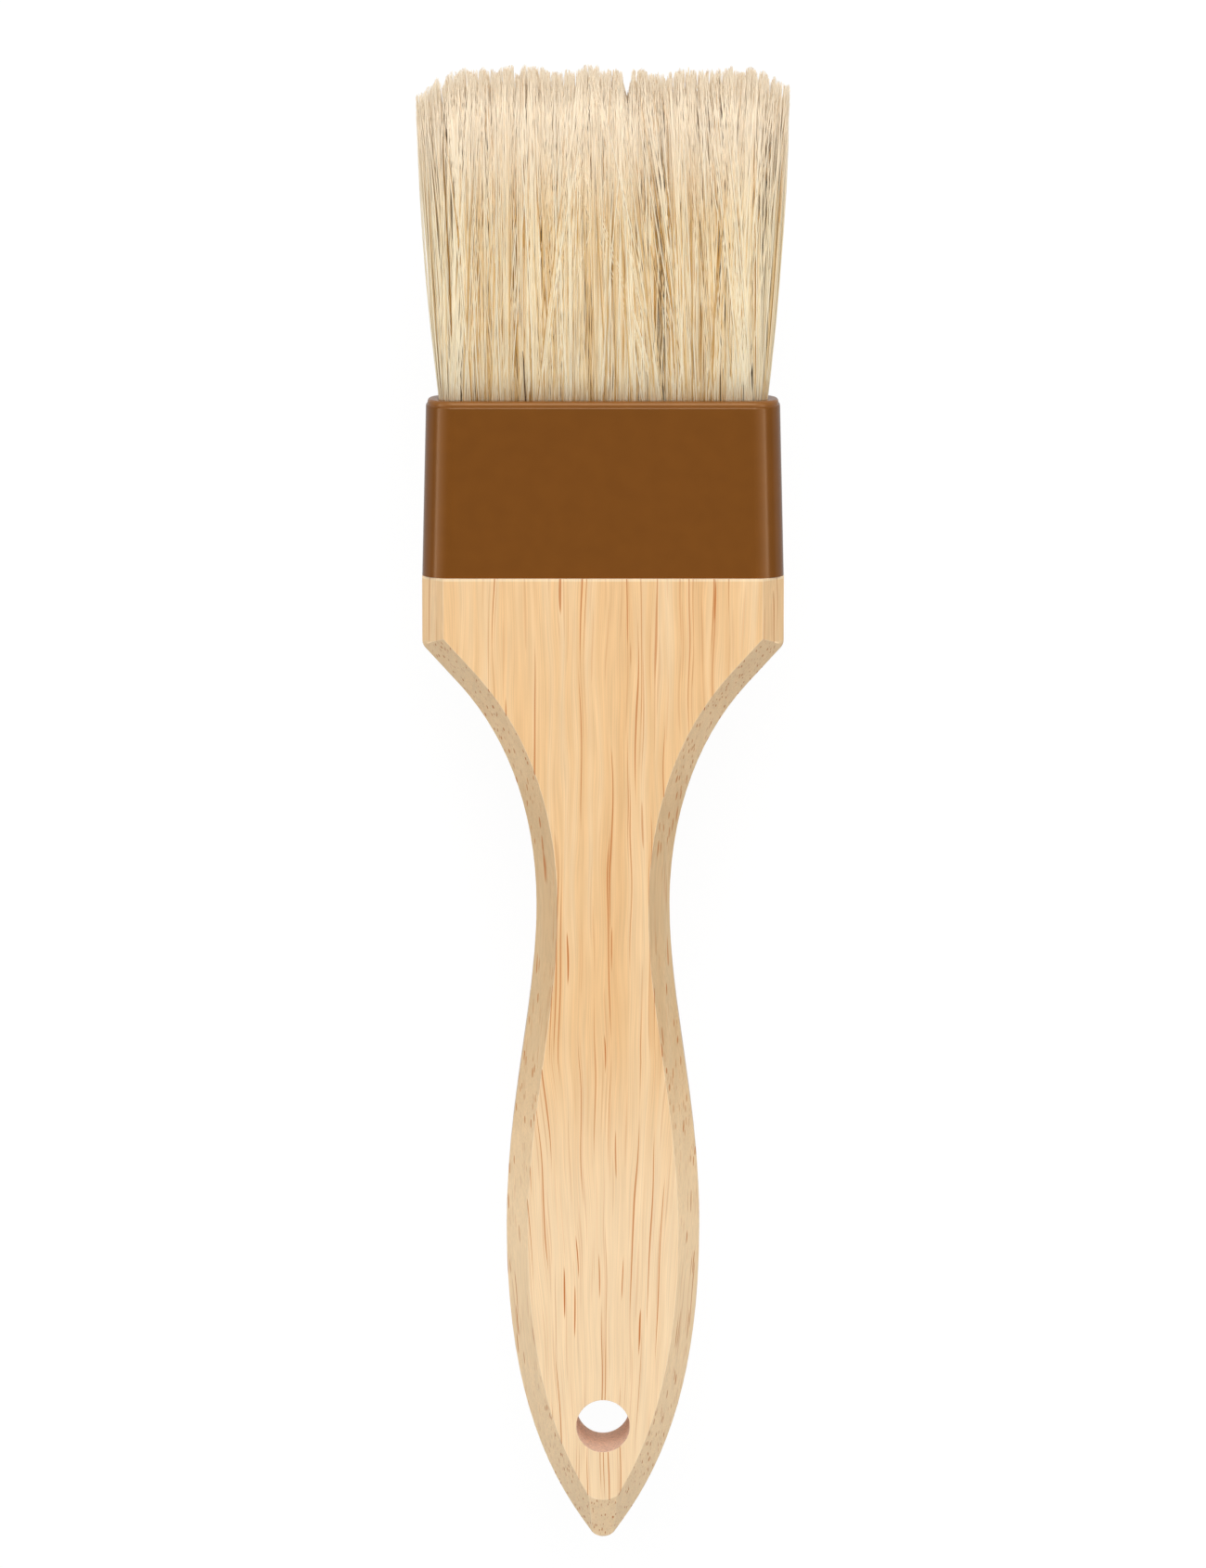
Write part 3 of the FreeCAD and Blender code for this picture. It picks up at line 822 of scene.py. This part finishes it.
# Distances from the brush, widths and heights are in metres.
STRIP_DISTANCE = 1.2
STRIP_SIZE = (0.16, 0.9)
KEY_DISTANCE = 2.2
KEY_SIZE = (1.5, 1.9)
FLOOR_HALF = 6.0  # half the floor's side


def soft_lamp(name, place, size, radiance):
    """A rectangular lamp with an even radiance, turned to face the origin."""
    data = bpy.data.lights.new(name, "AREA")
    data.shape = "RECTANGLE"
    data.size, data.size_y = size
    data.energy = radiance * math.pi * size[0] * size[1]
    lamp = bpy.data.objects.new(name, data)
    lamp.location = place
    pitch = math.atan2(-place[1], place[2]) if place[1] else 0.0
    lamp.rotation_euler = (pitch, math.atan2(place[0], place[2]), 0.0)
    bpy.context.scene.collection.objects.link(lamp)
    return lamp


def seen_directly(tree):
    """1 where the camera, a reflection or clear glass looks at a surface, and 0 for the light it gives."""
    path = add(tree, "ShaderNodeLightPath")
    mirrored = add(
        tree, "ShaderNodeMath", {0: path.outputs["Is Glossy Ray"], 1: path.outputs["Is Transmission Ray"]},
        operation="MAXIMUM",
    )
    return add(
        tree, "ShaderNodeMath", {0: path.outputs["Is Camera Ray"], 1: mirrored.outputs[0]},
        operation="MAXIMUM",
    ).outputs[0]


def studio_floor():
    """Matt white paper. What the camera sees of it is mostly plain white, with the shadow kept."""
    material, tree = new_material("white_paper_floor")
    paper = add(tree, "ShaderNodeBsdfDiffuse", {"Color": (0.55, 0.55, 0.55)})
    glow = add(tree, "ShaderNodeEmission", {"Color": (1.0, 1.0, 1.0), "Strength": 1.15})
    path = add(tree, "ShaderNodeLightPath")
    share = add(
        tree, "ShaderNodeMapRange", {"Value": path.outputs["Is Glossy Ray"], "To Min": 0.8, "To Max": 0.25}
    )  # gloss mirrors less of the glow, so that dark edges stay dark against it
    part = add(
        tree, "ShaderNodeMath", {0: seen_directly(tree), 1: share.outputs["Result"]}, operation="MULTIPLY"
    )
    mixed = add(
        tree, "ShaderNodeMixShader", {"Fac": part.outputs[0], 1: paper.outputs[0], 2: glow.outputs[0]}
    )
    add(tree, "ShaderNodeOutputMaterial", {"Surface": mixed.outputs[0]})
    return material


# What a reflection sees at each height, from the horizon at 0 to straight above at 1: dim walls, then the
# bright hoods of the side lamps, which fade upwards into the dark round the camera.
HOODS = ((0.0, 0.25), (1.0, 0.05), (0.47, 0.4), (0.52, 3.6), (0.62, 2.7), (0.8, 1.4), (0.93, 0.5))
SOFT_LIGHT = 0.38  # strength of the even light that the walls give


def studio_world():
    """A studio that looks white to the camera, shows dim walls and lamp hoods in reflections, and gives the
    brush an even soft light."""
    world = bpy.data.worlds.new("studio")
    world.use_nodes = True
    tree = world.node_tree
    tree.nodes.clear()
    way = add(tree, "ShaderNodeTexCoord").outputs["Generated"]
    # The hoods hang a little lower on the left, so height is measured along a line that leans that way.
    height = add(tree, "ShaderNodeVectorMath", {0: way, 1: (-0.122, 0.0, 1.0)}, operation="DOT_PRODUCT")
    hoods = add(
        tree, "ShaderNodeValToRGB", {"Fac": height.outputs["Value"]},
        stops=[(place, (level, level, level)) for place, level in HOODS],
    )
    seen = add(tree, "ShaderNodeLightPath")
    mirrored = add(
        tree, "ShaderNodeMix",
        {"Factor": seen.outputs["Is Camera Ray"], 6: hoods.outputs["Color"], 7: (1.0, 1.0, 1.0, 1.0)},
        data_type="RGBA",
    )
    level = add(
        tree, "ShaderNodeMix", {"Factor": seen_directly(tree), 2: SOFT_LIGHT, 3: mirrored.outputs[2]},
        data_type="FLOAT",
    )
    light = add(tree, "ShaderNodeBackground", {"Color": (1.0, 1.0, 1.0), "Strength": level.outputs[0]})
    add(tree, "ShaderNodeOutputWorld", {"Surface": light.outputs[0]})
    return world


class PASTRYBRUSH_OT_stage(bpy.types.Operator):
    """Makes the floor, the lamps and the camera"""

    bl_idname = "pastry_brush.stage"
    bl_label = "Stage"

    def execute(self, context):
        scene = context.scene
        settings = scene.pastry_brush.stage
        scene.view_settings.view_transform = "Standard"
        scene.world = studio_world()

        shape = bmesh.new()
        bmesh.ops.create_grid(shape, x_segments=1, y_segments=1, size=FLOOR_HALF)
        bmesh.ops.translate(shape, vec=(0.0, 0.0, -settings.floor_drop), verts=shape.verts)
        floor = new_piece("floor", shape, studio_floor())
        for name, side, angle in (
            ("left_strip", -1, settings.left_lamp),
            ("right_strip", 1, settings.right_lamp),
        ):
            place = (side * STRIP_DISTANCE * math.sin(angle), 0.0, STRIP_DISTANCE * math.cos(angle))
            soft_lamp(name, place, STRIP_SIZE, settings.strip_strength)
        angle = settings.key_lamp
        place = (0.0, KEY_DISTANCE * math.sin(angle), KEY_DISTANCE * math.cos(angle))
        soft_lamp("key_box", place, KEY_SIZE, settings.key_strength)

        data = bpy.data.cameras.new("camera")
        data.sensor_fit = "HORIZONTAL"
        data.sensor_width = 36.0
        data.lens = settings.lens
        camera = bpy.data.objects.new("camera", data)
        tilt = settings.tilt
        ahead, above = settings.distance * math.sin(tilt), settings.distance * math.cos(tilt)
        camera.location = (0.0, ahead, MIDDLE + above)
        camera.rotation_euler = (-math.atan2(ahead - settings.aim, above), 0.0, 0.0)
        scene.collection.objects.link(camera)
        scene.camera = camera
        return {"FINISHED"}


class PASTRYBRUSH_PT_panel(bpy.types.Panel):
    """Lists the pieces of the brush and their settings"""

    bl_label = "Pastry Brush"
    bl_idname = "PASTRYBRUSH_PT_panel"
    bl_space_type = "VIEW_3D"
    bl_region_type = "UI"
    bl_category = "Pastry Brush"

    def draw(self, context):
        settings = context.scene.pastry_brush
        for operator, group in (
            (PASTRYBRUSH_OT_handle, settings.handle),
            (PASTRYBRUSH_OT_ferrule, settings.ferrule),
            (PASTRYBRUSH_OT_setting, settings.inside),
            (PASTRYBRUSH_OT_bristles, settings.bristles),
            (PASTRYBRUSH_OT_stage, settings.stage),
        ):
            box = self.layout.box()
            box.operator(operator.bl_idname)
            for key in group.bl_rna.properties.keys():
                if key not in {"rna_type", "name"}:
                    box.prop(group, key)


CLASSES = (
    HandleSettings,
    FerruleSettings,
    BristleSettings,
    SettingSettings,
    StageSettings,
    BrushSettings,
    PASTRYBRUSH_OT_handle,
    PASTRYBRUSH_OT_ferrule,
    PASTRYBRUSH_OT_setting,
    PASTRYBRUSH_OT_bristles,
    PASTRYBRUSH_OT_stage,
    PASTRYBRUSH_PT_panel,
)


def register():
    for cls in CLASSES:
        bpy.utils.register_class(cls)
    bpy.types.Scene.pastry_brush = PointerProperty(type=BrushSettings)


def unregister():
    del bpy.types.Scene.pastry_brush
    for cls in reversed(CLASSES):
        bpy.utils.unregister_class(cls)


def main():
    register()
    bpy.ops.pastry_brush.handle()
    bpy.ops.pastry_brush.ferrule()
    bpy.ops.pastry_brush.setting()
    bpy.ops.pastry_brush.bristles()
    bpy.ops.pastry_brush.stage()


if __name__ == "__main__":
    main()
